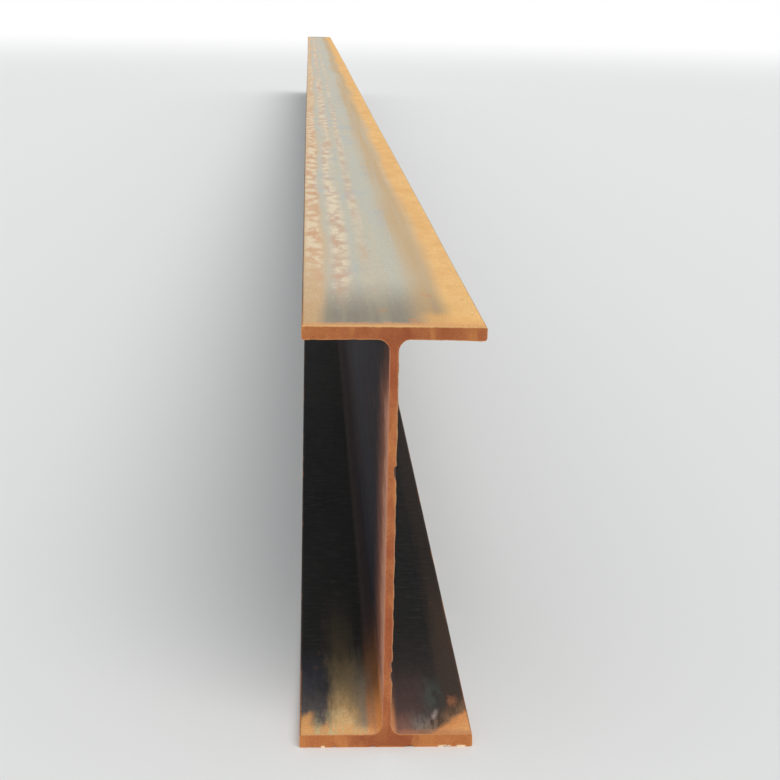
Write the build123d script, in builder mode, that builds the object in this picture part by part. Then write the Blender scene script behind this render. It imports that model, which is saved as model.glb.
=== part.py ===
from build123d import *
import os

# Rolled steel H-beam, one straight length of stock.
# It stands on its lower flange with the web upright.
# Millimetres: X across the flanges, Y along the beam, Z up from the floor.

# Section sizes
section_height = 500.0    # over the outer faces of both flanges
flange_width = 200.0
web_thickness = 10.0
flange_thickness = 16.0
root_radius = 13.0        # rolled fillet where the web meets a flange
toe_radius = 2.5          # edges of the flanges, rounded by the rolls

# Stock length between the two saw cuts
stock_length = 12000.0

# Heights of the mid-planes of the web and of the two flanges
web_level = section_height / 2
lower_level = flange_thickness / 2
upper_level = section_height - flange_thickness / 2


def corners_at(distance):
    """Corners of the section drawn so far at this distance from the web's mid-line."""
    return section.vertices().filter_by(lambda corner: abs(abs(corner.X) - distance) < 0.01)


with BuildPart() as h_beam:
    # Section across the beam, seen along its length
    with BuildSketch(Plane.XZ) as section:
        # Web between the outer faces, then a flange at its foot and one at its head
        with Locations((0, web_level)):
            Rectangle(web_thickness, section_height)
        with Locations((0, lower_level), (0, upper_level)):
            Rectangle(flange_width, flange_thickness)
        fillet(corners_at(web_thickness / 2), root_radius)
        fillet(corners_at(flange_width / 2), toe_radius)
    # Rolled alike all along, so the section runs on equally to both saw cuts
    extrude(amount=stock_length / 2, both=True)

h_beam.part.label = "h_beam"

os.makedirs("parts", exist_ok=True)
export_step(h_beam.part, "parts/h_beam.step")
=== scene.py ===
import math

import bpy
import numpy as np
from mathutils import Matrix, Vector


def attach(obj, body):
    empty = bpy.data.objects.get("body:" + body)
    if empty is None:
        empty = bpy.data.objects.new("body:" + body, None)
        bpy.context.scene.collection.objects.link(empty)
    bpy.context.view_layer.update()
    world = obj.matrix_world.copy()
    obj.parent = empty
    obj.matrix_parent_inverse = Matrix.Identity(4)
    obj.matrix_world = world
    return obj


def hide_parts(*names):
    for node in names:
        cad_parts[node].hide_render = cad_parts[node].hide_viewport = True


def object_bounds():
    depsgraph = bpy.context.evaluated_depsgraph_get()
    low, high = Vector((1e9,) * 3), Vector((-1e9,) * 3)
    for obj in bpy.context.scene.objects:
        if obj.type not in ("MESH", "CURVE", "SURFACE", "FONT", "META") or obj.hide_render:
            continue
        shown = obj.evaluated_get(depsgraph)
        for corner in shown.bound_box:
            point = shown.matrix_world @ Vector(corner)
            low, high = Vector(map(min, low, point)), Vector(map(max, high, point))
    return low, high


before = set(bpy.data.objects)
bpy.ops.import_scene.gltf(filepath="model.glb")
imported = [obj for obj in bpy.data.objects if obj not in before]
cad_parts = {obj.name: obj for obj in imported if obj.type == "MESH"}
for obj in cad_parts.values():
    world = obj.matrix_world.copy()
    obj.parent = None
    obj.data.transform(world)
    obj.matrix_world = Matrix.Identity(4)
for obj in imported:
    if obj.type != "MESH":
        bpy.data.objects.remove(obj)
cad_low, cad_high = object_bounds()

# Lengths are in metres. The beam runs along Y and shows its cut at the -Y end; X goes across
# the flanges and Z up from the lower one's outer face.

# Section, its overall sizes read from the frame
half_width = cad_high.x
height = cad_high.z
half_length = cad_high.y
web_half = 0.005
flange = 0.016
root = 0.013
toe = 0.0025

# The two cuts, as signs of Y, and the seeds of their random waves
front = -1
back = 1
cut_seeds = {front: 20, back: 40}

# Fineness of the mesh
rounding = 1e-9
web_column = 0.62
fillet_steps = 6
toe_steps = 4
flat_step = 0.003
web_steps = 240
row_places = (0.0, 0.11, 0.3, 0.5, 0.7, 0.89, 1.0)
ring_growth = 1.35
ring_first = 0.0006
ring_longest = 0.2

# Relief of a cut: how far it leans over its height and width, height and length of its waves
lean_up = 0.0005
lean_across = 0.0003
broad_waves = (0.00016, 0.19)
saw_marks = (0.00006, 0.011)
cut_grain = (0.00005, 0.006)

# Burr and chips along the edge of a cut
burr = 0.00022
burr_right_of_web = 0.0004
burr_wave = 0.04
chip = 0.00035
chip_underneath = 0.0009
chip_wave = 0.045

# How far along the beam the damage of a cut reaches
lip_reach = 0.0011
chip_reach = 0.0035
tear_reach = 0.010
relief_reach = 0.010

# Torn bites in the web's right edge: level of the upper end, length and depth
upper_tear = (0.342, 0.020, 0.0026)
lower_tears = ((0.107, 0.0105, 0.0018), (0.0945, 0.0125, 0.0019))

# Shallow dent above the upper bite
dent_level = 0.352
dent_reach = 0.012
dent_depth = 0.0004

# Beads along the lower edge of the cut: place across, reach and share of the tallest
tallest_bead = 0.0011
beads = ((-0.073, 0.0022, 1.0), (0.068, 0.005, 0.7), (0.087, 0.004, 0.8))

# How far the rolled beam strays from dead straight
sweep = 0.0014
sweep_phase = 0.6
flange_wave = 0.0007
flange_wave_length = 2.3
flange_wave_seed = 77

# Random waves: each octave is weaker and shorter than the one before
octave_strength = 0.62
octave_ratio = 1.9
octave_spread = 0.15
wave_gain = 1.6

# Places of rust and scale: the yellow streak and the orange wedge in the channels, the flaked
# rows on the outer faces, where the lower half begins, and the beads' pale marks on the cut
streak_from_web = 0.047
wedge_along = 0.056
wedge_across = 0.045
flaked_rows = ((-0.097, -0.076, 0.006), (-0.063, -0.040, 0.008), (-0.026, -0.012, 0.006))
lower_half = (0.26, 0.24)
bead_marks = ((-0.0752, -0.0708, 0.0006), (0.061, 0.075, 0.002), (0.082, 0.092, 0.002))

# Rusty steel as a surface
steel_ior = 1.45
steel_shine = 0.05

# Camera, placed as the photograph was taken, before the front cut
camera_left_of_web = 0.094
camera_before_cut = 1.540
camera_above_floor = 0.837
camera_turn = math.radians(3.35)
camera_dip = math.radians(14.85)
camera_roll = math.radians(1.17)
camera_lens = 68.0
camera_sensor = 36.0
camera_sight = 200.0

# Light and floor
sky_colour = (0.90, 0.95, 1.0, 1.0)
sky_strength = 0.6
sun_colour = (1.0, 0.98, 0.95)
sun_strength = 1.8
sun_width = math.radians(50)
sun_direction = Vector((-0.25, 0.6, -0.85))
white = (1.0, 1.0, 1.0, 1.0)
floor_half = 60.0
floor_fade = (8.0, 26.0)


def smooth_step(value, low, high):
    """0 below low, 1 above high, with a soft ramp between; low may be above high."""
    t = np.clip((value - low) / (high - low), 0.0, 1.0)
    return t * t * (3.0 - 2.0 * t)


def wobble(t, longest, octaves, seed):
    """Smooth random wave along t, about -1 to 1, made of a few sines."""
    random = np.random.default_rng(seed)
    total = np.zeros_like(np.asarray(t, float))
    weight = 0.0
    for octave in range(octaves):
        strength = octave_strength ** octave
        stretch = random.uniform(1 - octave_spread, 1 + octave_spread)
        wave = longest / octave_ratio ** octave * stretch
        total += strength * np.sin(2 * math.pi * t / wave + random.uniform(0, 2 * math.pi))
        weight += strength
    return total / weight * wave_gain


def bump_at(place, middle, reach):
    """Soft single bump round a place."""
    return np.exp(-((place - middle) / reach) ** 2)


# Section of the beam

def column_places():
    """Places across half a flange: web, root fillet, flat face and rounded toe."""
    places = [0.0, web_column * web_half]
    for step in range(fillet_steps + 1):
        angle = math.pi / 2 * step / fillet_steps
        places.append(web_half + root * (1 - math.cos(angle)))
    flat_start = web_half + root
    flat_end = half_width - toe
    flats = round((flat_end - flat_start) / flat_step)
    for step in range(1, flats + 1):
        places.append(flat_start + (flat_end - flat_start) * step / flats)
    for step in range(1, toe_steps + 1):
        places.append(flat_end + toe * math.sin(math.pi / 2 * step / toe_steps))
    return places


def toe_drop(x):
    """How far the rounded toe takes a flange's face back at this place."""
    past = max(0.0, abs(x) - (half_width - toe))
    return toe - math.sqrt(max(0.0, toe * toe - past * past))


def root_rise(x):
    """How far the root fillet stands above the flange's inner face at this place."""
    short = min(root, max(0.0, web_half + root - abs(x)))
    return root - math.sqrt(max(0.0, root * root - short * short))


def outward(loop):
    """Unit normals of a closed counter-clockwise loop of points."""
    along = np.roll(loop, -1, axis=0) - np.roll(loop, 1, axis=0)
    normal = np.stack([along[:, 1], -along[:, 0]], axis=1)
    return normal / np.linalg.norm(normal, axis=1)[:, None]


def way_along(loop):
    """Length of the way round a closed loop up to each of its points."""
    steps = np.linalg.norm(np.roll(loop, -1, axis=0) - loop, axis=1)
    return np.concatenate([[0.0], np.cumsum(steps)[:-1]])


class Section:
    """Points of the cut face, the quads between them and the outline round them."""

    def __init__(self):
        self.points = []
        self.quads = []
        right = column_places()
        self.columns = [-x for x in reversed(right[1:])] + right
        lower = self.flange_grid(lambda z: z)
        upper = self.flange_grid(lambda z: height - z)
        web = self.web_grid(lower, upper)
        self.outline = self.trace(lower, upper, web)
        on_outline = set(self.outline)
        self.inside = [k for k in range(len(self.points)) if k not in on_outline]
        self.points = np.array(self.points)
        self.loop = self.points[self.outline]
        self.normals = outward(self.loop)
        self.way = way_along(self.loop)

    def add(self, x, z):
        """Adds a point and returns its number."""
        self.points.append((x, z))
        return len(self.points) - 1

    def flange_grid(self, level):
        """Grid of one flange: a column for each place, its rows from the outer face inward."""
        grid = []
        for x in self.columns:
            low = toe_drop(x)
            high = flange - low + root_rise(x)
            rows = [low + (high - low) * share for share in row_places]
            grid.append([self.add(x, level(z)) for z in rows])
        self.fill(grid)
        return grid

    def web_grid(self, lower, upper):
        """Grid of the web, which shares its first and last rows with the flanges."""
        low = flange + root
        high = height - flange - root
        grid = []
        for index, x in enumerate(self.columns):
            if abs(x) > web_half + rounding:
                continue
            column = [lower[index][-1]]
            for step in range(1, web_steps):
                column.append(self.add(x, low + (high - low) * step / web_steps))
            column.append(upper[index][-1])
            grid.append(column)
        self.fill(grid)
        return grid

    def fill(self, grid):
        """Adds the quads between neighbouring columns."""
        for left, right in zip(grid, grid[1:]):
            for row in range(len(left) - 1):
                self.quads.append((left[row], right[row], right[row + 1], left[row + 1]))

    def trace(self, lower, upper, web):
        """Outline, counter-clockwise as seen from the front."""
        first = self.columns.index(-web_half)
        last = self.columns.index(web_half)
        outline = [column[0] for column in lower]
        outline += lower[-1][1:]
        outline += [column[-1] for column in reversed(lower[last:-1])]
        outline += web[-1][1:]
        outline += [column[-1] for column in upper[last + 1:]]
        outline += list(reversed(upper[-1][:-1]))
        outline += [column[0] for column in reversed(upper[:-1])]
        outline += upper[0][1:]
        outline += [column[-1] for column in upper[1:first + 1]]
        outline += list(reversed(web[0][:-1]))
        outline += [column[-1] for column in reversed(lower[:first])]
        outline += list(reversed(lower[0][1:-1]))
        return outline

    def zones(self):
        """Shares of web, inner face, outer face and toe at each outline point."""
        across = np.abs(self.loop[:, 0])
        level = np.minimum(self.loop[:, 1], height - self.loop[:, 1])
        web = smooth_step(across, web_half + root, web_half + 0.3 * root)
        toes = smooth_step(across, half_width - toe, half_width)
        outside = (level < flange / 2) & (across < half_width)
        web = np.where(outside, 0.0, web)
        outer = np.where(outside, 1.0 - toes, 0.0)
        inner = np.where(outside, 0.0, (1.0 - web) * (1.0 - toes))
        return np.stack([web, inner, outer, toes], axis=1)


# Damage of the two saw cuts

def underside(z):
    """1 on the beam's lowest face, 0 just above it."""
    return smooth_step(z, 0.002, 0.0)


def right_of_web(x, start, full):
    """1 on the web's right edge, which begins softly between two places."""
    return smooth_step(x, start, full) * smooth_step(x, 0.012, 0.008)


def cut_relief(x, z, seed):
    """How far the saw cut stands out from its plane: slightly out of square, with low waves."""
    lean = lean_up * (z / height - 0.5) + lean_across * x / half_width
    waves = broad_waves[0] * wobble(z + 0.3 * x, broad_waves[1], 4, seed)
    marks = saw_marks[0] * wobble(z + 0.22 * x, saw_marks[1], 3, seed + 1)
    grain = cut_grain[0] * wobble(x * 1.7 - z, cut_grain[1], 3, seed + 2)
    return lean + waves + marks + grain


def burr_height(x, z, way, seed):
    """Height of the saw's burr along the outline; it leans out on the web's right side."""
    rough = 0.5 + 0.5 * wobble(way, burr_wave, 6, seed)
    upright = smooth_step(z, 0.03, 0.05) * smooth_step(z, 0.47, 0.45)
    lip = burr + burr_right_of_web * right_of_web(x, 0.003, 0.005) * upright
    return lip * rough * (1 - underside(z))


def bite(z, top, tall, deep):
    """Depth of a torn bite: a sharp step at its upper end that runs out below."""
    down = (top - z) / tall
    return deep * smooth_step(down, 0.0, 0.12) * smooth_step(down, 1.0, 0.5)


def web_tears(x, z):
    """Depth of the tears that the saw left along the web's right edge."""
    upper = bite(z, *upper_tear) + dent_depth * bump_at(z, dent_level, dent_reach)
    lower = sum(bite(z, *tear) for tear in lower_tears)
    return right_of_web(x, 0.002, 0.003) * (upper + lower)


def chip_depth(z, way, seed):
    """Depth of the small chips that broke out all round the cut's edge."""
    bites = smooth_step(wobble(way, chip_wave, 4, seed), 0.55, 1.0)
    return (chip_underneath * underside(z) + chip) * bites


def bead_height(x, z):
    """How far the beads stand forward from the cut along its lower edge."""
    across = sum(share * bump_at(x, middle, reach) for middle, reach, share in beads)
    return tallest_bead * underside(z) * across


# Shape of the beam

def ring_distances():
    """Distances of the rings from the nearer cut, close together at the cut."""
    places = [0.0]
    step = ring_first
    while places[-1] + step < half_length - ring_longest:
        places.append(places[-1] + step)
        step = min(step * ring_growth, ring_longest)
    places.append(half_length)
    return places


class Shape:
    """The closed mesh: rings of the outline from cut to cut, and a grid over each cut."""

    def __init__(self, section):
        self.section = section
        self.count = len(section.outline)
        distances = ring_distances()
        places = [(front, d) for d in distances] + [(back, d) for d in reversed(distances[:-1])]
        rings = [self.ring(side, distance) for side, distance in places]
        grids = [self.cut_points(side) for side in (front, back)]
        self.vertices = np.concatenate([points for points, _ in rings] + grids)
        self.torn = np.concatenate([torn for _, torn in rings])
        self.last_ring = (len(rings) - 1) * self.count
        self.faces = self.rolled_faces()
        self.rolled = len(self.faces)
        grids_start = len(self.torn)
        self.faces += self.cut_faces(front, 0, grids_start)
        self.faces += self.cut_faces(back, self.last_ring, grids_start + len(grids[0]))
        self.bend()

    def ring(self, side, distance):
        """Points of one ring, so far from its cut, and how torn the steel is at each."""
        loop, way = self.section.loop, self.section.way
        x, z = loop[:, 0], loop[:, 1]
        seed = cut_seeds[side]
        lip = burr_height(x, z, way, seed) * math.exp(-distance / lip_reach)
        chips = chip_depth(z, way, seed + 5) * math.exp(-((distance / chip_reach) ** 2))
        tear = web_tears(x, z) * math.exp(-((distance / tear_reach) ** 2))
        bead = bead_height(x, z) * math.exp(-distance / lip_reach)
        relief = cut_relief(x, z, seed) * math.exp(-distance / relief_reach)
        sideways = lip * (1 - smooth_step(tear, 0.0, 0.0008)) - chips - tear
        flat = loop + self.section.normals * sideways[:, None]
        forward = lip * 0.8 + bead - chips * 0.7 - tear * 0.2
        y = side * (half_length - distance + relief + forward)
        points = np.stack([flat[:, 0], y, np.maximum(flat[:, 1], 0.0)], axis=1)
        return points, smooth_step(tear, 0.0001, 0.0015)

    def cut_points(self, side):
        """Points within a cut's outline, drawn in clear of the tears and the rounded toes."""
        x, z = self.section.points[self.section.inside].T
        narrowed = 1 - web_tears(np.abs(x), z) / web_half
        x = x * np.where(x > 0, narrowed, 1.0)
        past = np.maximum(np.abs(x) - (half_width - toe), 0.0)
        x = x - 0.5 * past * np.sign(x)
        y = side * (half_length + cut_relief(x, z, cut_seeds[side]))
        return np.stack([x, y, z], axis=1)

    def rolled_faces(self):
        """Quads between neighbouring rings, looking outward."""
        faces = []
        for near in range(0, self.last_ring, self.count):
            far = near + self.count
            for k in range(self.count):
                after = (k + 1) % self.count
                faces.append((near + k, far + k, far + after, near + after))
        return faces

    def cut_faces(self, side, ring_start, grid_start):
        """Quads of a cut, between its ring and its grid, looking out of the beam."""
        number = {k: grid_start + i for i, k in enumerate(self.section.inside)}
        number.update({k: ring_start + i for i, k in enumerate(self.section.outline)})
        faces = []
        for quad in self.section.quads:
            quad = [number[k] for k in quad]
            a, b, c = (self.vertices[k] for k in quad[:3])
            if np.cross(b - a, c - a)[1] * side < 0:
                quad.reverse()
            faces.append(tuple(quad))
        return faces

    def bend(self):
        """Takes the beam off dead straight: a long gentle sweep and faint waves of the flanges."""
        y = self.vertices[:, 1]
        swing = np.sin(math.pi * y / half_length + sweep_phase)
        self.vertices[:, 0] += sweep * swing * (1 - (y / half_length) ** 2)
        edge = (np.abs(self.vertices[:, 0]) / half_width) ** 2
        top = smooth_step(self.vertices[:, 2], 0.3, 0.45)
        waves = 1 + wobble(y, flange_wave_length, 3, flange_wave_seed)
        self.vertices[:, 2] -= flange_wave * edge * top * waves

    def on_rim(self, edge):
        """Whether a mesh edge lies on the outline of a cut."""
        a, b = sorted(edge.vertices)
        on_cut = b < self.count or self.last_ring <= a < b < len(self.torn)
        return on_cut and b - a in (1, self.count - 1)


# Colours

def paint(red, green, blue):
    """A colour as a screen shows it, 0 to 255, as the linear values that a shader takes."""
    def linear(value):
        value /= 255.0
        return value / 12.92 if value <= 0.04045 else ((value + 0.055) / 1.055) ** 2.4
    return (linear(red), linear(green), linear(blue), 1.0)


class Tone:
    """Colours of the beam and the floor."""

    # Rust that may lie anywhere, then the painted highlight on the lip at the cut and the painted
    # shade in the torn bites
    rust_dark = paint(104, 58, 40)
    rust_brown = paint(158, 92, 56)
    rust_orange = paint(204, 134, 80)
    rust_yellow = paint(224, 180, 118)
    # Painted highlight on the lip at the cut
    lip = paint(204, 146, 108)
    # Painted shade in the torn bites
    torn = paint(50, 30, 22)

    # Mill scale of the web, with painted shade by the cut and clear further in, of the inner faces,
    # dark with painted shade, of the outer faces, duller by the cut with painted shade, and of the
    # toes
    web_shade_plum = paint(32, 26, 29)
    web_shade_blue = paint(28, 27, 33)
    web_shade_streak = paint(54, 44, 48)
    clear_plum = paint(92, 82, 84)
    clear_blue = paint(82, 80, 88)
    clear_streak = paint(112, 102, 98)
    clear_run = paint(106, 82, 70)
    clear_patch = paint(72, 62, 64)
    # Painted shade: the black and dark grey of the inner faces
    inner_shade_black = paint(29, 29, 31)
    inner_shade_grey = paint(40, 39, 38)
    inner_ripple = paint(80, 78, 74)
    inner_clear = paint(106, 98, 91)
    # Painted shade: the duller cream grey by the cut
    outer_shade_by_cut = paint(134, 127, 112)
    outer_grey = paint(188, 184, 168)
    outer_streak_shade_by_cut = paint(158, 146, 124)
    outer_streak = paint(196, 184, 158)
    outer_blue = paint(170, 178, 182)
    outer_left_edge = paint(210, 170, 120)
    toe_scale = paint(84, 72, 66)

    # Rust of the web, lightened near the cut with painted light, and rust along the roots
    bloom_and_light = paint(176, 114, 88)
    pale_bloom_and_light = paint(210, 156, 130)
    root_orange = paint(232, 154, 90)
    root_brown = paint(134, 88, 54)
    root_dark = paint(70, 52, 42)

    # Inner faces
    upper_cut_edge = paint(206, 142, 92)
    flakes = paint(176, 160, 146)

    # Floor of the channels, left of the web
    left_lit = paint(122, 112, 106)
    left_slate = paint(66, 68, 76)
    left_cool = paint(168, 152, 128)
    streak_far = paint(98, 85, 64)
    streak_middle = paint(158, 136, 100)
    streak_near = paint(220, 178, 122)
    streak_cream = paint(236, 204, 148)
    left_mottle = paint(176, 164, 124)
    left_band = paint(224, 168, 110)
    left_band_cream = paint(212, 184, 134)
    left_corner = paint(224, 164, 102)

    # Floor of the channels, right of the web
    right_brown = paint(84, 67, 55)
    # Painted shade over the floor right of the web, near the cut
    right_painted_shade = paint(66, 58, 54)
    right_purple = paint(86, 69, 67)
    right_green = paint(84, 94, 88)
    right_red = paint(150, 110, 96)
    right_blue = paint(138, 133, 126)
    right_flake = paint(168, 152, 146)
    right_island = paint(170, 112, 80)
    right_creep = paint(186, 124, 88)
    # Rust tone lightened as painted light round the wedge
    wedge_rust_and_light = paint(160, 122, 90)
    wedge = paint(220, 150, 94)
    wedge_bright = paint(226, 164, 106)

    # Outer faces
    tan = paint(196, 158, 108)
    cut_glow = paint(226, 172, 108)
    edge_band = paint(230, 176, 110)
    edge_band_bright = paint(238, 190, 124)
    rows = paint(214, 176, 146)
    plates = paint(230, 216, 186)
    seams = paint(196, 140, 104)
    veins = paint(206, 168, 128)
    outer_stripe = paint(220, 158, 106)

    # Saw cut
    cut_brown = paint(160, 92, 60)
    cut_orange = paint(176, 106, 68)
    cut_smear = paint(188, 118, 74)
    cut_dark = paint(132, 72, 50)
    cut_light = paint(200, 138, 88)
    swing_yellow = paint(206, 138, 80)
    swing_red = paint(154, 80, 52)
    flange_yellow = paint(204, 134, 78)
    flange_red = paint(154, 88, 56)
    # Painted highlights along the cut's rim and along its top edge
    rim_salmon_highlight = paint(184, 134, 110)
    rim_tan_highlight = paint(186, 146, 110)
    rim_flange_highlight = paint(212, 148, 94)
    crown_highlight = paint(242, 194, 130)
    beads = paint(244, 222, 186)

    floor = paint(226, 226, 224)


# Shader nodes under short names

class Nodes:
    """A node tree; every value may be a number, a colour or another node's output."""

    def __init__(self, tree):
        self.tree = tree
        tree.nodes.clear()

    def add(self, kind, inputs=None, **settings):
        """A new node, with its settings made and its inputs linked or set."""
        node = self.tree.nodes.new(kind)
        for name, value in settings.items():
            setattr(node, name, value)
        for socket, value in (inputs or {}).items():
            if isinstance(value, bpy.types.NodeSocket):
                self.tree.links.new(value, node.inputs[socket])
            else:
                node.inputs[socket].default_value = value
        return node

    def math(self, operation, first, *others):
        """Joins all values by one operation, from left to right."""
        result = first
        for value in others:
            node = self.add("ShaderNodeMath", {0: result, 1: value}, operation=operation)
            result = node.outputs[0]
        return result

    def plus(self, *values):
        return self.math("ADD", *values)

    def minus(self, a, b):
        return self.math("SUBTRACT", a, b)

    def times(self, *values):
        return self.math("MULTIPLY", *values)

    def over(self, a, b):
        return self.math("DIVIDE", a, b)

    def most(self, *values):
        return self.math("MAXIMUM", *values)

    def size(self, value):
        return self.add("ShaderNodeMath", {0: value}, operation="ABSOLUTE").outputs[0]

    def ramp(self, value, low, high, start=0.0, end=1.0):
        """Soft ramp from start, where value is low, to end, where it is high."""
        inputs = {"Value": value, "From Min": low, "From Max": high, "To Min": start, "To Max": end}
        return self.add("ShaderNodeMapRange", inputs, interpolation_type="SMOOTHSTEP").outputs[0]

    def within(self, value, low, high, soft):
        """1 where the value lies between low and high, with soft limits."""
        above = self.ramp(value, low - soft, low + soft)
        return self.times(above, self.ramp(value, high + soft, high - soft))

    def ragged(self, value, *noises):
        """The value moved to and fro by noises, each given with its reach."""
        for noise, reach in noises:
            value = self.plus(value, self.times(self.minus(noise, 0.5), reach))
        return value

    def blend(self, factor, first, second, kind="MIX"):
        """Mix of two colours, which are inputs 6 and 7 and output 2 of this node."""
        inputs = {"Factor": factor, 6: first, 7: second}
        return self.add("ShaderNodeMix", inputs, data_type="RGBA", blend_type=kind).outputs[2]

    def attribute(self, name):
        """Outputs of what the mesh holds at its points under this name."""
        return self.add("ShaderNodeAttribute", attribute_name=name).outputs


class Shader(Nodes):
    """One material, whose colour is laid on in layers."""

    def __init__(self, name):
        self.material = bpy.data.materials.new(name)
        self.material.use_nodes = True
        super().__init__(self.material.node_tree)
        self.place = self.add("ShaderNodeTexCoord").outputs["Object"]
        self.x, self.y, self.z = self.add("ShaderNodeSeparateXYZ", {0: self.place}).outputs
        self.colour = None

    def spread(self, stretch, shift):
        """The place with so many units a metre along each axis, shifted."""
        scaled = self.add("ShaderNodeVectorMath", {0: self.place, 1: stretch}, operation="MULTIPLY")
        inputs = {0: scaled.outputs[0], 1: shift}
        return self.add("ShaderNodeVectorMath", inputs, operation="ADD").outputs[0]

    def noise(self, stretch, shift, detail, rough):
        """Noise with so many grains a metre along each axis, about 0.5 in the mean."""
        vector = self.spread(stretch, (shift, shift, shift))
        inputs = {"Vector": vector, "Scale": 1.0, "Detail": detail, "Roughness": rough}
        return self.add("ShaderNodeTexNoise", inputs).outputs["Fac"]

    def cells(self, stretch, shift, bend):
        """Distance from the middle of rounded cells, so many a metre, bent by a noise."""
        moved = self.add("ShaderNodeCombineXYZ", {0: bend, 1: shift, 2: 0.0}).outputs[0]
        inputs = {"Vector": self.spread(stretch, moved), "Scale": 1.0}
        return self.add("ShaderNodeTexVoronoi", inputs).outputs["Distance"]

    def lay(self, tone, *masks):
        """Lays a tone over the colour by the product of the masks, and returns that product."""
        mask = self.times(*masks)
        self.colour = self.blend(mask, self.colour, tone)
        return mask

    def shade(self, value):
        """Makes the colour lighter or darker by a factor."""
        grey = self.add("ShaderNodeCombineColor", {0: value, 1: value, 2: value}).outputs[0]
        self.colour = self.blend(1.0, self.colour, grey, "MULTIPLY")

    def bump(self, level, distance, strength, under=None):
        """Normal of a relief, over the normal of what lies under it."""
        inputs = {"Height": level, "Distance": distance, "Strength": strength}
        if under is not None:
            inputs["Normal"] = under
        return self.add("ShaderNodeBump", inputs).outputs[0]

    def finish(self, roughness, metallic, normal):
        """Joins colour and relief to the material's output."""
        surface = self.add("ShaderNodeBsdfPrincipled", {
            "Base Color": self.colour,
            "Roughness": roughness,
            "Metallic": metallic,
            "Normal": normal,
            "IOR": steel_ior,
            "Specular IOR Level": steel_shine,
        })
        self.add("ShaderNodeOutputMaterial", {"Surface": surface.outputs[0]})
        return self.material


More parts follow.
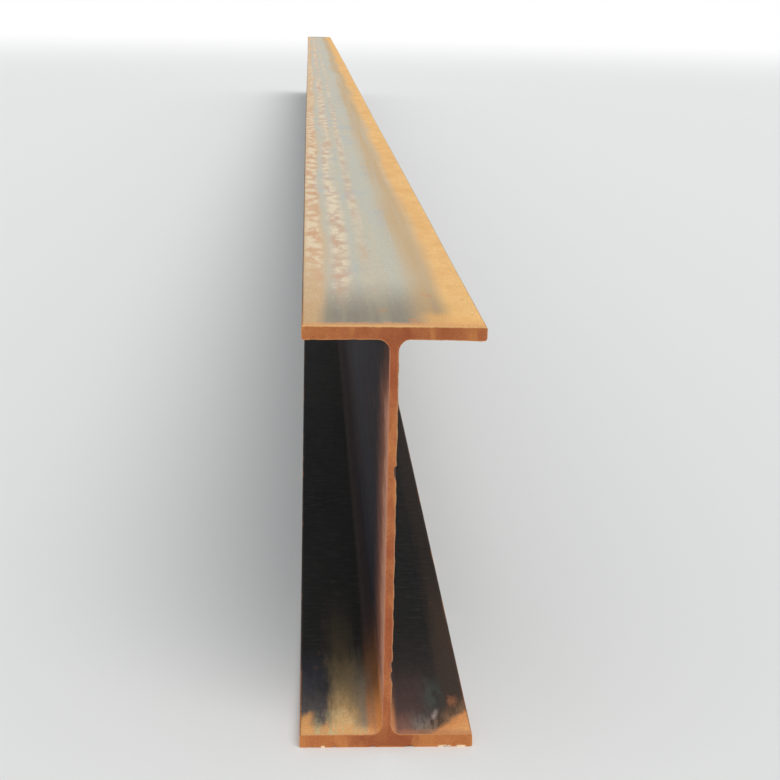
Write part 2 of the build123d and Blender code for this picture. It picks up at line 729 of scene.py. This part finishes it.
class RolledSteel(Shader):
    """Mill scale, blue grey to purple grey, with painted shade in the channels and by the cuts,
    under the rust that weather brought.
    """

    def __init__(self):
        super().__init__("rolled_steel")

        # Which face this is, and how far it lies from the nearer cut and toe
        zone = self.attribute("zone")
        shares = self.add("ShaderNodeSeparateColor", {0: zone["Color"]})
        self.web, self.inner, self.outer = shares.outputs
        self.edge = zone["Alpha"]
        self.torn = self.attribute("torn")["Fac"]
        self.depth = self.minus(half_length, self.size(self.y))
        self.toe_gap = self.minus(half_width, self.size(self.x))
        self.low_half = self.ramp(self.z, *lower_half)
        self.right = self.ramp(self.x, -0.01, 0.01)

        # Noises: streaks of the rolling, cross ripples, patches and fine grain
        self.long_streak = self.noise((55, 0.8, 55), 3.1, 4, 0.6)
        self.fine_streak = self.noise((260, 5, 260), 8.7, 3, 0.6)
        self.drift = self.noise((9, 1.3, 9), 1.7, 3, 0.5)
        self.patch = self.noise((26, 13, 26), 5.3, 5, 0.6)
        self.blotch = self.noise((90, 60, 90), 6.1, 5, 0.65)
        self.speck = self.noise((330, 260, 330), 9.9, 4, 0.7)
        self.grain = self.noise((650, 650, 650), 2.3, 3, 0.6)
        self.ripple = self.noise((38, 150, 38), 4.4, 3, 0.6)
        self.rows = self.noise((42, 1.6, 42), 7.7, 2, 0.5)
        self.drip = self.noise((110, 17, 110), 12.3, 3, 0.6)
        self.run = self.noise((30, 21, 2.4), 15.1, 4, 0.6)
        self.scales = self.cells((60, 20, 20), 2.9, self.times(self.blotch, 2.6))

        # Place across and distance from the cut, with ragged limits
        self.sideways = self.ragged(self.x, (self.drift, 0.05))
        self.frayed = self.ragged(self.depth, (self.blotch, 0.03))

        self.rust_tone = self.mixed_rust()
        self.root_tone = self.rust_along_root()
        self.colour = self.scale_and_shade()
        self.rusty = 0.0

    def by_side(self, left, right):
        """One value left of the web, another on its right."""
        return self.ramp(self.right, 0.0, 1.0, left, right)

    def lay(self, tone, *masks, rust=1.0):
        """Lays a tone over the colour and counts so much of it as rust."""
        mask = super().lay(tone, *masks)
        self.rusty = self.most(self.rusty, self.times(mask, rust))

    def mixed_rust(self):
        """Rust of every age: brown, orange and yellow patches with dark specks."""
        tone = self.blend(self.ramp(self.patch, 0.38, 0.6), Tone.rust_brown, Tone.rust_orange)
        tone = self.blend(self.ramp(self.blotch, 0.55, 0.75, 0, 0.8), tone, Tone.rust_yellow)
        return self.blend(self.ramp(self.speck, 0.36, 0.27, 0, 0.7), tone, Tone.rust_dark)

    def rust_along_root(self):
        """Orange at the cut, brown behind it, nearly black a forearm's length in."""
        tone = self.blend(self.ramp(self.frayed, 0.03, 0.14), Tone.root_orange, Tone.root_brown)
        return self.blend(self.ramp(self.frayed, 0.13, 0.34), tone, Tone.root_dark)

    def scale_and_shade(self):
        """Bare scale of all faces with painted shade, which darkens the channels by the cuts, so
        that they are paler away from the cuts.
        """
        away = self.ramp(self.depth, 1.2, 4.0)
        scale = self.blend(self.inner, Tone.toe_scale, self.inner_scale_and_shade(away))
        scale = self.blend(self.outer, scale, self.outer_scale_and_shade())
        return self.blend(self.web, scale, self.web_scale_and_shade(away))

    def web_scale_and_shade(self, away):
        """Nearly black by the cut, which is painted shade; further in, and sooner on the right,
        grey with streaks.
        """
        bluish = self.ramp(self.drift, 0.35, 0.65)
        # Painted shade: the nearly black scale by the cut, with its streaks
        dark = self.blend(bluish, Tone.web_shade_plum, Tone.web_shade_blue)
        streaks = self.ramp(self.long_streak, 0.5, 0.75, 0, 0.5)
        dark = self.blend(streaks, dark, Tone.web_shade_streak)
        clear = self.blend(bluish, Tone.clear_plum, Tone.clear_blue)
        streaks = self.ramp(self.long_streak, 0.42, 0.7, 0, 0.7)
        clear = self.blend(streaks, clear, Tone.clear_streak)
        clear = self.blend(self.ramp(self.run, 0.48, 0.70, 0, 0.55), clear, Tone.clear_run)
        clear = self.blend(self.ramp(self.patch, 0.52, 0.72, 0, 0.6), clear, Tone.clear_patch)
        on_right = self.ramp(self.depth, 0.15, 1.3)
        lighter = self.blend(self.right, self.times(away, 0.55), on_right)
        return self.blend(self.times(lighter, 0.85), dark, clear)

    def inner_scale_and_shade(self, away):
        """Black to dark grey, which is painted shade, with faint cross ripples."""
        inner = self.blend(self.ramp(self.drift, 0.35, 0.65), Tone.inner_shade_black, Tone.inner_shade_grey)
        inner = self.blend(self.ramp(self.ripple, 0.5, 0.7, 0, 0.2), inner, Tone.inner_ripple)
        return self.blend(self.times(away, 0.6), inner, Tone.inner_clear)

    def outer_scale_and_shade(self):
        """Cream grey, duller by the cut with painted shade, with streaks, pale blue blooms and a
        tan left edge.
        """
        # Painted shade, full by the cut and gone about 0.3 m in
        out_of_shade = self.ramp(self.depth, 0.04, 0.3)
        plain = self.blend(out_of_shade, Tone.outer_shade_by_cut, Tone.outer_grey)
        streak = self.blend(out_of_shade, Tone.outer_streak_shade_by_cut, Tone.outer_streak)
        outer = self.blend(self.ramp(self.long_streak, 0.42, 0.66, 0, 0.6), plain, streak)
        blue = self.times(
            self.ramp(self.patch, 0.46, 0.64),
            self.ramp(self.drift, 0.42, 0.58),
            self.ramp(self.depth, 0.08, 0.4),
        )
        outer = self.blend(self.times(blue, 0.65), outer, Tone.outer_blue)
        left_edge = self.ramp(self.sideways, -0.066, -0.084, 0, 0.75)
        return self.blend(left_edge, outer, Tone.outer_left_edge)

    def web_faces(self):
        """Salmon rust behind the cut, lightened with painted light, shorter high up, and a brown
        band up from the lower root.
        """
        high_up = self.ramp(self.z, 0.38, 0.47, 0.0, 0.12)
        behind = self.ragged(
            self.plus(self.depth, high_up),
            (self.fine_streak, 0.07), (self.patch, 0.12), (self.blotch, 0.08),
        )
        # Rust near the cut, lightened as painted light
        bloom_and_light = self.math("POWER", self.ramp(behind, 0.30, -0.04), 1.4)
        self.lay(Tone.bloom_and_light, self.web, bloom_and_light, self.by_side(0.9, 0.7))
        pale = self.ramp(behind, 0.11, -0.01)
        self.lay(Tone.pale_bloom_and_light, self.web, pale, self.by_side(0.8, 0.4))
        foot = self.ramp(self.ragged(self.z, (self.patch, 0.04)), 0.075, 0.028)
        near = self.ramp(self.depth, 0.45, 0.0, 0.25, 1.0)
        self.lay(self.root_tone, self.web, foot, near, self.by_side(1.0, 0.45))

    def inner_faces(self):
        """The channels' floor, which is the lower flange's upper face, and rust overhead."""
        left = self.floor_side(self.minus(1.0, self.right), 0.016, 0.07)
        self.left_floor(*left)
        self.left_cut_edge(*left)
        right = self.floor_side(self.right, 0.014, 0.05)
        self.right_floor(*right)
        self.right_wedge(*right)
        under = self.times(self.inner, self.minus(1.0, self.low_half))
        margin = self.ramp(self.ragged(self.toe_gap, (self.patch, 0.05)), 0.020, 0.002)
        broken = self.ramp(self.long_streak, 0.35, 0.55, 0.2, 0.7)
        self.lay(self.rust_tone, under, margin, broken)
        self.lay(Tone.upper_cut_edge, under, self.ramp(self.frayed, 0.020, 0.004), 0.8)
        flakes = self.times(self.ramp(self.speck, 0.63, 0.69), self.ramp(self.depth, 0.08, 0.02))
        self.lay(Tone.flakes, self.inner, flakes, 0.55, rust=0.4)

    def floor_side(self, side, gap_reach, deep_reach):
        """One side of the floor: its mask and the ragged distances from the toe and the cut."""
        here = self.times(self.inner, self.low_half, side)
        gap = self.ragged(self.toe_gap, (self.drip, gap_reach))
        deep = self.ragged(self.frayed, (self.drip, deep_reach))
        return here, gap, deep

    def left_floor(self, here, gap, deep):
        """Left of the web: slate blue at the toe, cool grey by the web, a yellow streak between."""
        spots = self.ramp(self.blotch, 0.3, 0.6, 0.4, 1.0)
        self.lay(Tone.left_lit, here, self.ramp(deep, 0.17, 0.02), spots, 0.7, rust=0.3)
        slate = self.times(self.ramp(gap, 0.052, 0.022), self.ramp(deep, 0.26, 0.12))
        patches = self.ramp(self.patch, 0.3, 0.55, 0.3, 1.0)
        self.lay(Tone.left_slate, here, slate, patches, 0.6, rust=0.2)
        cool = self.times(self.ramp(gap, 0.050, 0.066), self.ramp(deep, 0.26, 0.04))
        self.lay(Tone.left_cool, here, cool, 0.85, rust=0.3)

        # The streak narrows and fades with depth
        off = self.size(self.ragged(self.plus(self.x, streak_from_web), (self.drift, 0.016)))
        off = self.ragged(off, (self.drip, 0.018), (self.fine_streak, 0.008))
        far = self.times(self.ramp(off, 0.026, 0.004), self.ramp(deep, 0.46, 0.10))
        self.lay(Tone.streak_far, here, far, 0.75, rust=0.5)
        middle = self.times(self.ramp(off, 0.024, 0.003), self.ramp(deep, 0.23, 0.06))
        self.lay(Tone.streak_middle, here, middle, 0.9, rust=0.6)
        near = self.times(self.ramp(off, 0.026, 0.004), self.ramp(deep, 0.12, 0.035))
        creamy = self.ramp(self.blotch, 0.4, 0.65)
        near_tone = self.blend(creamy, Tone.streak_near, Tone.streak_cream)
        self.lay(near_tone, here, near, 0.9, rust=0.8)

    def left_cut_edge(self, here, gap, deep):
        """Left of the web at the cut: mottle, a cream band, the corner and the glowing root."""
        mottle = self.times(self.within(gap, 0.010, 0.044, 0.010), self.ramp(deep, 0.080, 0.020))
        drips = self.ramp(self.drip, 0.40, 0.62)
        spots = self.ramp(self.blotch, 0.3, 0.6, 0.4, 1.0)
        self.lay(Tone.left_mottle, here, mottle, drips, spots, 0.85, rust=0.5)
        edge = self.ragged(self.depth, (self.drip, 0.038), (self.blotch, 0.024))
        creamy = self.ramp(self.drip, 0.42, 0.58)
        band_tone = self.blend(creamy, Tone.left_band, Tone.left_band_cream)
        self.lay(band_tone, here, self.ramp(edge, 0.034, 0.008), 0.85, rust=0.8)
        corner = self.times(self.ramp(gap, 0.022, 0.006), self.ramp(deep, 0.066, 0.034))
        self.lay(Tone.left_corner, here, corner, 0.9)
        root_gap = self.ragged(self.toe_gap, (self.drip, 0.008))
        near = self.ramp(self.depth, 0.5, 0.0, 0.1, 1.0)
        self.lay(self.root_tone, here, self.ramp(root_gap, 0.076, 0.087), near)

    def right_floor(self, here, gap, deep):
        """Right of the web: purple brown, darkened near the cut by painted shade, with green, red
        and blue grey blooms near the cut.
        """
        brown = self.ramp(self.ragged(gap, (self.long_streak, 0.04)), 0.040, 0.010)
        fading = self.ramp(self.depth, 0.55, 0.18, 0.25, 0.75)
        self.lay(Tone.right_brown, here, brown, fading, rust=0.5)
        # Painted shade near the cut
        self.lay(Tone.right_painted_shade, here, self.ramp(deep, 0.36, 0.12), 0.55, rust=0.3)
        purple = self.times(self.within(gap, 0.045, 0.100, 0.012), self.ramp(deep, 0.21, 0.07))
        patches = self.ramp(self.patch, 0.3, 0.55, 0.5, 1.0)
        self.lay(Tone.right_purple, here, purple, patches, 0.85, rust=0.3)
        across = self.within(gap, 0.031, 0.050, 0.012)
        along = self.within(deep, 0.06, 0.14, 0.03)
        drips = self.ramp(self.drip, 0.3, 0.6)
        self.lay(Tone.right_green, here, across, along, drips, 0.55, rust=0.2)
        red = self.times(self.within(gap, 0.066, 0.090, 0.012), self.ramp(deep, 0.070, 0.010))
        self.lay(Tone.right_red, here, red, 0.65, rust=0.6)
        blue = self.times(self.within(gap, 0.040, 0.068, 0.010), self.ramp(deep, 0.070, 0.010))
        drips = self.ramp(self.drip, 0.3, 0.55)
        self.lay(Tone.right_blue, here, blue, drips, 0.75, rust=0.3)

    def right_wedge(self, here, gap, deep):
        """Right of the web, an orange wedge in the outer corner in a soft ring of painted light,
        with loose flakes beside it.
        """
        aside = self.over(self.minus(gap, 0.003), wedge_across)
        slope = self.plus(self.over(self.depth, wedge_along), aside)
        slope = self.ragged(slope, (self.blotch, 0.35))
        # Soft ring of painted light round the wedge, in a rust tone
        glow = self.times(self.ramp(slope, 1.9, 1.0), self.ramp(self.drip, 0.35, 0.6, 0.3, 1.0))
        self.lay(Tone.wedge_rust_and_light, here, glow, 0.7, rust=0.8)
        aslant = self.plus(self.toe_gap, self.times(self.minus(self.depth, 0.048), 0.25))
        across = self.within(aslant, 0.038, 0.043, 0.003)
        along = self.within(deep, 0.036, 0.062, 0.012)
        spots = self.ramp(self.blotch, 0.35, 0.6)
        self.lay(Tone.right_flake, here, across, along, spots, 0.8, rust=0.3)
        across = self.within(gap, 0.010, 0.021, 0.006)
        along = self.within(deep, 0.068, 0.094, 0.012)
        spots = self.ramp(self.blotch, 0.38, 0.6)
        self.lay(Tone.right_island, here, across, along, spots, 0.7)
        wedge_tone = self.blend(self.ramp(slope, 0.9, 0.3), Tone.wedge, Tone.wedge_bright)
        self.lay(wedge_tone, here, self.ramp(slope, 1.16, 0.86))
        creep = self.ramp(self.ragged(self.depth, (self.drip, 0.02)), 0.016, 0.004)
        self.lay(Tone.right_creep, here, creep, 0.5)

    def outer_faces(self):
        """Orange band along the right edge, veins, and a warm stripe at the cut."""
        broken = self.ramp(self.long_streak, 0.3, 0.6, 0.4, 1.0)
        tan = self.ramp(self.sideways, 0.004, 0.045)
        self.lay(Tone.tan, self.outer, tan, broken, 0.7, rust=0.6)
        glow = self.ramp(self.sideways, 0.015, 0.045)
        self.lay(Tone.cut_glow, self.outer, glow, self.ramp(self.frayed, 0.09, 0.035), 0.8)
        bright = self.ramp(self.patch, 0.35, 0.65)
        band_tone = self.blend(bright, Tone.edge_band, Tone.edge_band_bright)
        self.lay(band_tone, self.outer, self.ramp(self.sideways, 0.048, 0.074), 0.92)
        self.scaly_rows()
        veins = self.ramp(self.blotch, 0.57, 0.72)
        drawn = self.ramp(self.long_streak, 0.4, 0.6)
        self.lay(Tone.veins, self.outer, veins, drawn, 0.4, rust=0.6)
        self.lay(Tone.outer_stripe, self.outer, self.ramp(self.frayed, 0.020, 0.003), 0.7)

    def scaly_rows(self):
        """Three rows of flaked plates along the outer faces' left, the third fainter."""
        straight = self.ragged(self.x, (self.drift, 0.014))
        first, second, third = (self.within(straight, *row) for row in flaked_rows)
        rows = self.times(
            self.most(first, second, self.times(third, 0.6)),
            self.ramp(self.rows, 0.32, 0.55, 0.25, 1.0),
            self.ramp(self.depth, 0.05, 0.3),
        )
        self.lay(Tone.rows, self.outer, rows, 0.5, rust=0.8)
        plates = self.times(rows, self.ramp(self.scales, 0.60, 0.34))
        self.lay(Tone.plates, self.outer, plates, 0.65, rust=0.4)
        seams = self.times(rows, self.ramp(self.scales, 0.60, 0.80))
        self.lay(Tone.seams, self.outer, seams, 0.4, rust=0.9)

    def toes(self):
        """Rounded edges of the flanges, rusty near the cut and in patches along the beam."""
        patches = self.ramp(self.patch, 0.48, 0.66, 0, 0.6)
        self.lay(self.rust_tone, self.edge, self.most(self.ramp(self.depth, 0.25, 0.0), patches))

    def everywhere(self):
        """Scattered blooms and specks, fewer inside, a painted highlight on the lip at the cut and
        painted shade in the torn bites.
        """
        near = self.ramp(self.depth, 0.6, 0.0, 0.0, 0.04)
        blooms = self.ramp(self.plus(self.patch, near), 0.68, 0.77, 0, 0.5)
        specks = self.ramp(self.plus(self.speck, near), 0.67, 0.75, 0, 0.5)
        channel = self.ramp(self.plus(self.web, self.inner), 0.0, 1.0)
        fewer = self.times(channel, self.ramp(self.depth, 0.8, 3.0, 0.8, 0.2))
        self.lay(self.rust_tone, self.most(blooms, specks), self.minus(1.0, fewer))
        # Painted highlight on the lip at the cut
        self.lay(Tone.lip, self.ramp(self.depth, 0.0018, 0.0006), 0.6)
        # Painted shade in the torn bites
        self.lay(Tone.torn, self.torn, 0.9)
        self.shade(self.ramp(self.grain, 0.3, 0.7, 0.84, 1.14))

    def dress(self):
        """Lays on all rust, painted light and painted shade, and gives the finished material."""
        self.web_faces()
        self.inner_faces()
        self.outer_faces()
        self.toes()
        self.everywhere()
        bare = self.ramp(self.outer, 0.0, 1.0, 0.74, 0.56)
        roughness = self.plus(bare, self.times(self.rusty, 0.18))
        roughness = self.ragged(roughness, (self.blotch, 0.3))
        metallic = self.times(self.outer, self.ramp(self.rusty, 0.0, 0.6, 0.15, 0.0))
        flats = self.times(self.most(self.inner, self.outer), 0.45)
        rusty = self.ramp(self.rusty, 0.0, 1.0, 0.32, 0.9)
        normal = self.bump(self.ripple, 0.0005, flats)
        normal = self.bump(self.blotch, 0.0006, 0.6, normal)
        normal = self.bump(self.grain, 0.0004, rusty, normal)
        return self.finish(roughness, metallic, normal)


class SawCut(Shader):
    """Saw cut, rusted all over to an even orange brown, with a painted highlight along its rim."""

    def __init__(self):
        super().__init__("saw_cut")
        self.patch = self.noise((24, 24, 24), 2.2, 4, 0.55)
        self.smear = self.noise((70, 60, 30), 7.4, 4, 0.6)
        self.blotch = self.noise((150, 150, 150), 5.8, 5, 0.65)
        self.grain = self.noise((900, 900, 900), 1.4, 3, 0.6)
        self.marks = self.noise((26, 26, 420), 3.6, 2, 0.5)
        self.swing = self.noise((38, 38, 14), 4.7, 3, 0.5)
        level = self.math("MINIMUM", self.z, self.minus(height, self.z))
        self.in_flange = self.ramp(level, 0.034, 0.014)
        orange = self.ramp(self.patch, 0.36, 0.62)
        self.colour = self.blend(orange, Tone.cut_brown, Tone.cut_orange)

    def uneven_rust(self):
        """Smears, dark and light blotches, and broad swings to yellow and to red."""
        self.lay(Tone.cut_smear, self.ramp(self.smear, 0.42, 0.68, 0, 0.6))
        self.lay(Tone.cut_dark, self.ramp(self.blotch, 0.42, 0.28, 0, 0.4))
        self.lay(Tone.cut_light, self.ramp(self.blotch, 0.6, 0.75, 0, 0.4))
        self.lay(Tone.swing_yellow, self.ramp(self.swing, 0.52, 0.64, 0, 0.5))
        self.lay(Tone.swing_red, self.ramp(self.swing, 0.48, 0.36, 0, 0.5))

    def flange_tones(self):
        """Redder where web and flange meet, more yellow towards the flanges' ends."""
        lower = self.ramp(self.z, *lower_half, 0.3, 1.0)
        share = self.times(self.in_flange, lower)
        across = self.size(self.x)
        self.lay(Tone.flange_yellow, share, self.ramp(across, 0.03, 0.07), 0.5)
        self.lay(Tone.flange_red, share, self.ramp(across, 0.045, 0.008), 0.6)

    def rim_highlights(self):
        """Painted highlight on the rim: salmon on the web's left, tan on its right, cream along the
        top.
        """
        web_rim_highlight = self.blend(self.ramp(self.x, -0.002, 0.002), Tone.rim_salmon_highlight, Tone.rim_tan_highlight)
        rim_highlight_tone = self.blend(self.in_flange, web_rim_highlight, Tone.rim_flange_highlight)
        self.lay(rim_highlight_tone, self.ramp(self.attribute("rim")["Fac"], 0.1, 1.0), 0.65)
        level = self.ragged(self.z, (self.blotch, 0.002))
        # Painted highlight along the top edge of the cut
        self.lay(Tone.crown_highlight, self.ramp(level, height - 0.0030, height - 0.0016), 0.8)

    def pale_beads(self):
        """Cream beads along the lower edge."""
        foot = self.ramp(self.ragged(self.z, (self.blotch, 0.003)), 0.0028, 0.0014)
        places = self.most(*(self.within(self.x, *mark) for mark in bead_marks))
        self.lay(Tone.beads, foot, places, self.ramp(self.blotch, 0.30, 0.45), 0.9)

    def dress(self):
        """Lays on all tones and gives the finished material."""
        self.uneven_rust()
        self.flange_tones()
        self.rim_highlights()
        self.pale_beads()
        duller_above = self.ramp(self.z, 0.46, 0.49, 1.0, 0.93)
        self.shade(self.times(self.ramp(self.grain, 0.3, 0.7, 0.84, 1.12), duller_above))
        normal = self.bump(self.marks, 0.0004, 0.5)
        normal = self.bump(self.blotch, 0.0006, 0.6, normal)
        normal = self.bump(self.grain, 0.0004, 0.8, normal)
        return self.finish(self.ramp(self.blotch, 0.3, 0.7, 0.74, 0.94), 0.0, normal)


# The beam

def give_points(mesh, name, values):
    """Gives the mesh's points a value or colour under a name; beyond the rings it is 0."""
    kind, field = ("FLOAT_COLOR", "color") if values.ndim == 2 else ("FLOAT", "value")
    every = np.zeros((len(mesh.vertices), *values.shape[1:]), np.float32)
    every[:len(values)] = values
    mesh.attributes.new(name, kind, "POINT").data.foreach_set(field, every.ravel())


def make_beam():
    """The one dressed piece, with a material for its rolled faces and one for its cuts."""
    section = Section()
    shape = Shape(section)
    mesh = bpy.data.meshes.new("h_beam_dressed")
    mesh.from_pydata(shape.vertices.tolist(), [], shape.faces)
    mesh.materials.append(RolledSteel().dress())
    mesh.materials.append(SawCut().dress())
    on_cut = np.arange(len(shape.faces)) >= shape.rolled
    mesh.polygons.foreach_set("material_index", on_cut.astype(np.int32))
    mesh.polygons.foreach_set("use_smooth", np.ones(len(shape.faces), bool))
    for edge in mesh.edges:
        if shape.on_rim(edge):
            edge.use_edge_sharp = True
    rings = len(shape.torn) // shape.count
    give_points(mesh, "zone", np.tile(section.zones(), (rings, 1)))
    # The rim share, where the cut's painted highlight goes
    give_points(mesh, "rim", np.ones(len(shape.torn)))
    # The torn share, where painted shade goes in the bites
    give_points(mesh, "torn", shape.torn)
    mesh.update()
    beam = bpy.data.objects.new("h_beam_dressed", mesh)
    bpy.context.scene.collection.objects.link(beam)
    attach(beam, "root")
    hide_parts("h_beam")


# Floor, light and camera

def make_floor():
    """A plain floor that fades to white far from the beam."""
    mesh = bpy.data.meshes.new("floor")
    far = floor_half
    corners = [(-far, -far, 0), (far, -far, 0), (far, far, 0), (-far, far, 0)]
    mesh.from_pydata(corners, [], [(0, 1, 2, 3)])
    s = Shader("floor")
    plain = s.add("ShaderNodeBsdfPrincipled", {"Base Color": Tone.floor, "Roughness": 0.9})
    glow = s.add("ShaderNodeEmission", {"Color": white, "Strength": 1.0})
    away = s.add("ShaderNodeVectorMath", {0: s.place}, operation="LENGTH").outputs["Value"]
    seen = s.add("ShaderNodeLightPath").outputs["Is Camera Ray"]
    fade = s.times(s.ramp(away, *floor_fade), seen)
    mixed = s.add("ShaderNodeMixShader", {0: fade, 1: plain.outputs[0], 2: glow.outputs[0]})
    s.add("ShaderNodeOutputMaterial", {"Surface": mixed.outputs[0]})
    mesh.materials.append(s.material)
    floor = bpy.data.objects.new("floor", mesh)
    bpy.context.scene.collection.objects.link(floor)


def make_sky():
    """Even light from all sides, seen as plain white."""
    world = bpy.data.worlds.new("studio")
    bpy.context.scene.world = world
    world.use_nodes = True
    sky = Nodes(world.node_tree)
    rays = sky.add("ShaderNodeLightPath").outputs
    seen = sky.most(rays["Is Camera Ray"], rays["Is Glossy Ray"], rays["Is Transmission Ray"])
    light = sky.add("ShaderNodeBackground", {"Color": sky_colour, "Strength": sky_strength})
    plain = sky.add("ShaderNodeBackground", {"Color": white, "Strength": 1.0})
    chosen = sky.add("ShaderNodeMixShader", {0: seen, 1: light.outputs[0], 2: plain.outputs[0]})
    sky.add("ShaderNodeOutputWorld", {"Surface": chosen.outputs[0]})


def make_sun():
    """A wide soft light from above, behind the camera's right shoulder."""
    lamp = bpy.data.lights.new("key", "SUN")
    lamp.energy = sun_strength
    lamp.angle = sun_width
    lamp.color = sun_colour
    key = bpy.data.objects.new("key", lamp)
    bpy.context.scene.collection.objects.link(key)
    key.rotation_mode = "QUATERNION"
    key.rotation_quaternion = sun_direction.to_track_quat("-Z", "Y")


def make_camera():
    """The photograph's view of the cut end."""
    data = bpy.data.cameras.new("camera")
    data.lens = camera_lens
    data.sensor_width = camera_sensor
    data.clip_end = camera_sight
    camera = bpy.data.objects.new("camera", data)
    bpy.context.scene.collection.objects.link(camera)
    front_y = -half_length - camera_before_cut
    camera.location = (-camera_left_of_web, front_y, camera_above_floor)
    level = math.cos(camera_dip)
    ahead = (math.sin(camera_turn) * level, math.cos(camera_turn) * level, -math.sin(camera_dip))
    upright = Vector(ahead).to_track_quat("-Z", "Y").to_matrix()
    camera.rotation_mode = "QUATERNION"
    camera.rotation_quaternion = (upright @ Matrix.Rotation(camera_roll, 3, "Z")).to_quaternion()
    bpy.context.scene.camera = camera


make_beam()
make_floor()
make_sky()
make_sun()
make_camera()
bpy.context.scene.view_settings.view_transform = "Standard"
